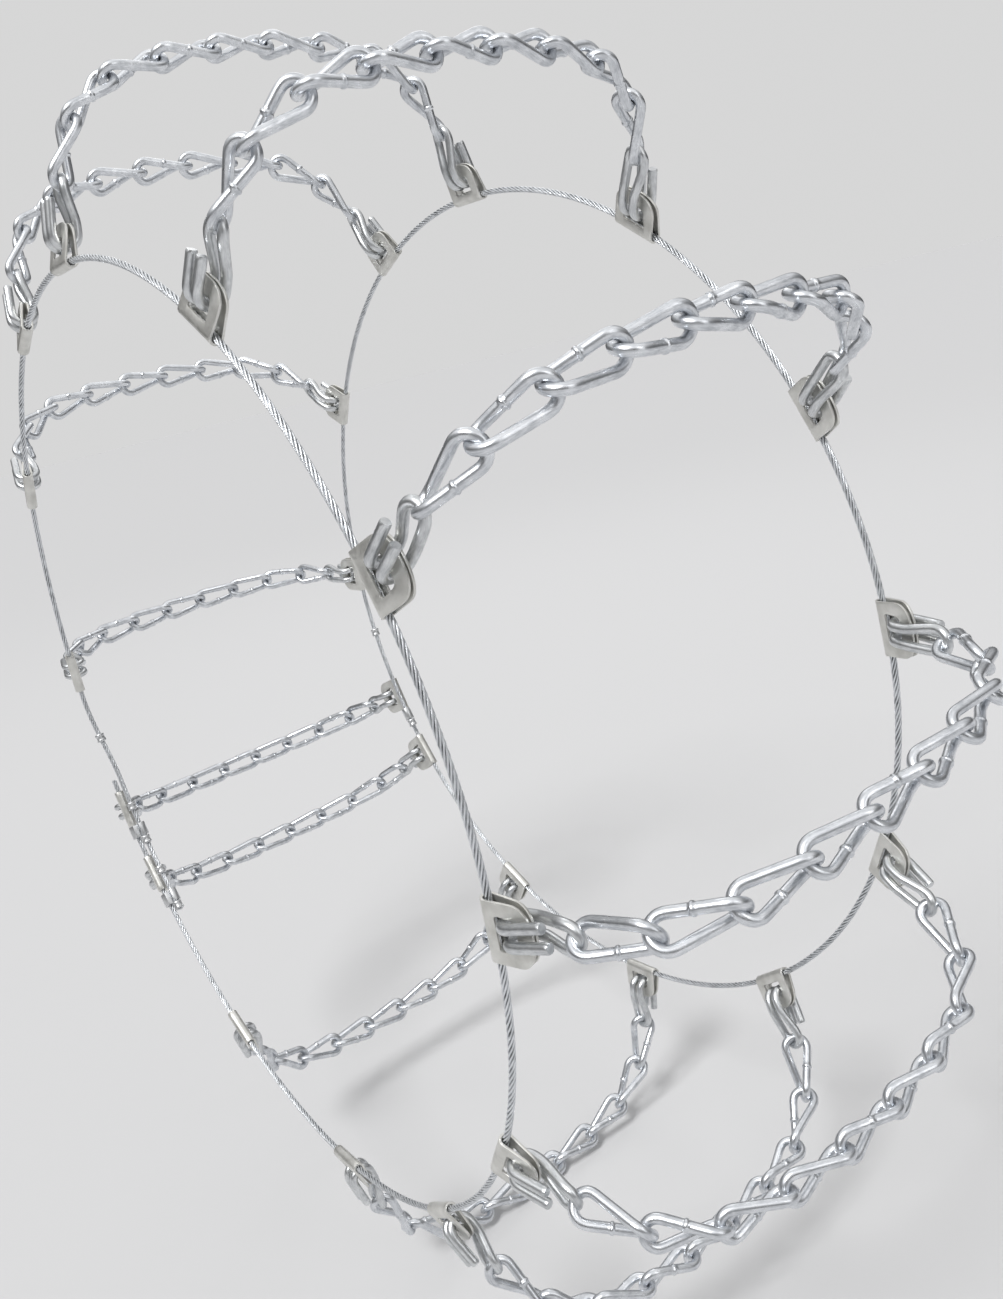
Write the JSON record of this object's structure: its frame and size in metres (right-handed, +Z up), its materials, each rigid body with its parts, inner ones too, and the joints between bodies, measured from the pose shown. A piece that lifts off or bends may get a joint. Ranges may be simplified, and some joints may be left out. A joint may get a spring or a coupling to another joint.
{
  "type": "tire snow chains",
  "caption": "Snow chain for one passenger-car wheel: two side cables joined by twist-link cross chains, with folded clips, wire hooks and side fasteners.",
  "frame": {"origin": "the centre of the wheel and tyre that the chain is fitted round", "axes": "+Y runs along the wheel's axle towards the inboard side, -Y is the outboard side with the fastener that the driver reaches, and +Z is up"},
  "size_m": [0.6885, 0.2429, 0.689],
  "materials": {
    "link_zinc": "bright zinc plate, satin",
    "clip_zinc": "satin zinc plate, slightly warm grey",
    "rope_steel": "stranded galvanised wire",
    "sleeve_metal": "crimped, dull grey"
  },
  "bodies": {
    "side_cables": {"near_clip_01": "clip_zinc", "far_clip_01": "clip_zinc", "near_clip_02": "clip_zinc", "far_clip_02": "clip_zinc", "near_clip_03": "clip_zinc", "far_clip_03": "clip_zinc", "near_clip_04": "clip_zinc", "far_clip_04": "clip_zinc", "near_clip_05": "clip_zinc", "far_clip_05": "clip_zinc", "near_clip_06": "clip_zinc", "far_clip_06": "clip_zinc", "near_clip_07": "clip_zinc", "far_clip_07": "clip_zinc", "near_clip_08": "clip_zinc", "far_clip_08": "clip_zinc", "near_clip_09": "clip_zinc", "far_clip_09": "clip_zinc", "near_clip_10": "clip_zinc", "far_clip_10": "clip_zinc", "near_clip_11": "clip_zinc", "far_clip_11": "clip_zinc", "near_clip_12": "clip_zinc", "far_clip_12": "clip_zinc", "near_clip_13": "clip_zinc", "far_clip_13": "clip_zinc", "near_side_cable": "rope_steel", "far_side_cable": "rope_steel", "near_catch_1": "sleeve_metal", "near_catch_2": "sleeve_metal", "far_catch_1": "sleeve_metal", "near_ferrule_1": "sleeve_metal", "far_ferrule_1": "sleeve_metal"},
    "cross_chain_01": {"cross_chain_01": "link_zinc"},
    "cross_chain_02": {"cross_chain_02": "link_zinc"},
    "cross_chain_03": {"cross_chain_03": "link_zinc"},
    "cross_chain_04": {"cross_chain_04": "link_zinc"},
    "cross_chain_05": {"cross_chain_05": "link_zinc"},
    "cross_chain_06": {"cross_chain_06": "link_zinc"},
    "cross_chain_07": {"cross_chain_07": "link_zinc"},
    "cross_chain_08": {"cross_chain_08": "link_zinc"},
    "cross_chain_09": {"cross_chain_09": "link_zinc"},
    "cross_chain_10": {"cross_chain_10": "link_zinc"},
    "cross_chain_11": {"cross_chain_11": "link_zinc"},
    "cross_chain_12": {"cross_chain_12": "link_zinc"},
    "cross_chain_13": {"cross_chain_13": "link_zinc"},
    "near_tail": {"near_cable_tail": "rope_steel", "near_ferrule_2": "sleeve_metal", "near_ferrule_3": "sleeve_metal", "near_ferrule_4": "sleeve_metal", "near_ferrule_5": "sleeve_metal"},
    "far_tail": {"far_cable_tail": "rope_steel", "far_ferrule_2": "sleeve_metal"}
  },
  "joints": [
    {"name": "cross_chain_01_swing", "type": "hinge", "parent": "side_cables", "child": "cross_chain_01", "pos_m": [-0.24387, -0.11419, -0.08397], "axis": [0, 1, 0], "range_deg": [-7, 7]},
    {"name": "cross_chain_02_swing", "type": "hinge", "parent": "side_cables", "child": "cross_chain_02", "pos_m": [-0.22223, -0.11419, -0.13091], "axis": [0, 1, 0], "range_deg": [-7, 7]},
    {"name": "cross_chain_03_swing", "type": "hinge", "parent": "side_cables", "child": "cross_chain_03", "pos_m": [-0.12896, -0.11419, -0.22337], "axis": [0, 1, 0], "range_deg": [-7, 7]},
    {"name": "cross_chain_04_swing", "type": "hinge", "parent": "side_cables", "child": "cross_chain_04", "pos_m": [0.009, -0.11419, -0.25777], "axis": [0, 1, 0], "range_deg": [-7, 7]},
    {"name": "cross_chain_05_swing", "type": "hinge", "parent": "side_cables", "child": "cross_chain_05", "pos_m": [0.12896, -0.11419, -0.22337], "axis": [0.0338, 0.9992, 0.0203], "range_deg": [-7, 7]},
    {"name": "cross_chain_06_swing", "type": "hinge", "parent": "side_cables", "child": "cross_chain_06", "pos_m": [0.21256, -0.11419, -0.14609], "axis": [0.0872, 0.9847, 0.1511], "range_deg": [-7, 7]},
    {"name": "cross_chain_07_swing", "type": "hinge", "parent": "side_cables", "child": "cross_chain_07", "pos_m": [0.25674, -0.11419, -0.02472], "axis": [0.0041, 0.9878, 0.1556], "range_deg": [-7, 7]},
    {"name": "cross_chain_08_swing", "type": "hinge", "parent": "side_cables", "child": "cross_chain_08", "pos_m": [0.23376, -0.11419, 0.109], "axis": [-0.0085, 0.9998, 0.0178], "range_deg": [-7, 7]},
    {"name": "cross_chain_09_swing", "type": "hinge", "parent": "side_cables", "child": "cross_chain_09", "pos_m": [0.14794, -0.11419, 0.21128], "axis": [-0.0162, 0.9998, 0.0112], "range_deg": [-7, 7]},
    {"name": "cross_chain_10_swing", "type": "hinge", "parent": "side_cables", "child": "cross_chain_10", "pos_m": [0.00675, -0.11419, 0.25783], "axis": [0.0197, 0.9998, -0.0007], "range_deg": [-7, 7]},
    {"name": "cross_chain_11_swing", "type": "hinge", "parent": "side_cables", "child": "cross_chain_11", "pos_m": [-0.10078, -0.11419, 0.23742], "axis": [0.0365, 0.9992, 0.0148], "range_deg": [-7, 7]},
    {"name": "cross_chain_12_swing", "type": "hinge", "parent": "side_cables", "child": "cross_chain_12", "pos_m": [-0.20733, -0.11419, 0.15342], "axis": [0, 1, 0], "range_deg": [-7, 7]},
    {"name": "cross_chain_13_swing", "type": "hinge", "parent": "side_cables", "child": "cross_chain_13", "pos_m": [-0.25713, -0.11419, 0.02024], "axis": [0, 1, 0], "range_deg": [-7, 7]},
    {"name": "near_tail_release", "type": "hinge", "parent": "side_cables", "child": "near_tail", "pos_m": [-0.24369, -0.11397, -0.03729], "axis": [-0.9885, 0, -0.1513], "range_deg": [0, 45]},
    {"name": "far_tail_release", "type": "hinge", "parent": "side_cables", "child": "far_tail", "pos_m": [-0.24369, 0.11397, -0.03729], "axis": [0.9885, 0, 0.1513], "range_deg": [0, 45]}
  ]
}
